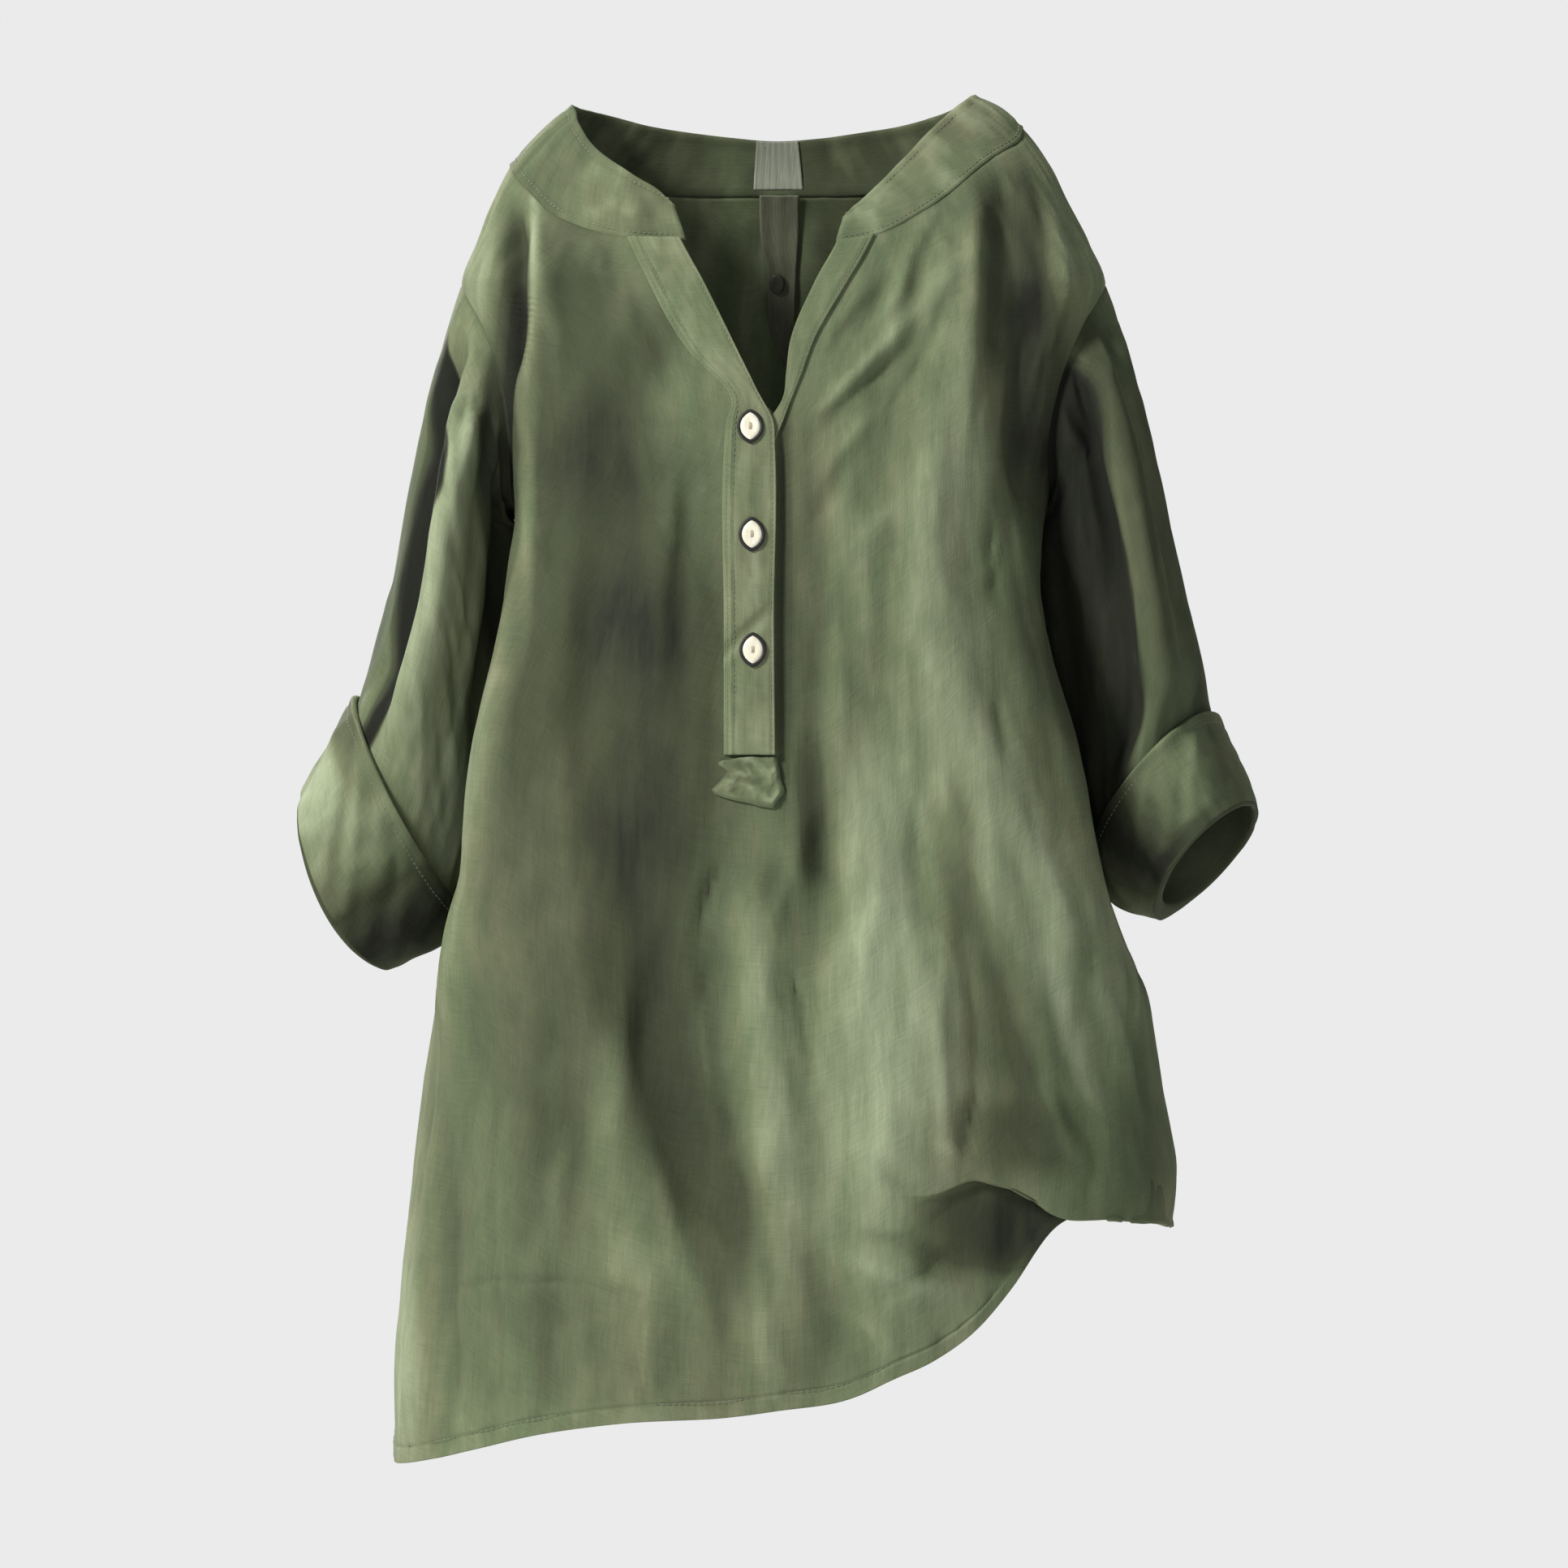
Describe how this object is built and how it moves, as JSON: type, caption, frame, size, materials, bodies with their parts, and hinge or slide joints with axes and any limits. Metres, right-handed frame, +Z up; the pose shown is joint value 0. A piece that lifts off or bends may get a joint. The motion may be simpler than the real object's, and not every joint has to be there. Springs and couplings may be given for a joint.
{
  "type": "collarless half-placket tunic",
  "caption": "Loose cloth tunic with a low stand band, a half placket with buttons and turned-up short sleeves, filled out as if worn.",
  "frame": {"origin": "middle of the neck and shoulder line, where a wearer or a hanger holds the garment up: halfway between the side ends of the neck band, level with its highest point", "axes": "+Z up along the length of the garment, +X towards the sleeve on the right as seen from the front, +Y towards the back, so the front with the placket faces -Y"},
  "size_m": [0.5421, 0.2761, 0.772],
  "materials": {
    "cloth": "matt washed linen weave",
    "tape_cloth": "soft woven tape",
    "tail_cloth": "soft woven tape",
    "button_face": "pale polished shell",
    "button_rim": "dark polished resin"
  },
  "bodies": {
    "root": {"front": "cloth", "back": "cloth", "sleeve_left": "cloth", "sleeve_right": "cloth", "cuff_left": "cloth", "cuff_right": "cloth", "collar_band": "cloth", "placket_over": "cloth", "placket_under": "cloth", "placket_end": "cloth", "button_1": "button_rim", "button_2": "button_rim", "button_3": "button_rim", "button_face_1": "button_face", "button_face_2": "button_face", "button_face_3": "button_face", "neck_tape": "tape_cloth", "neck_tail": "tail_cloth", "spare_button": "button_rim"}
  },
  "joints": []
}
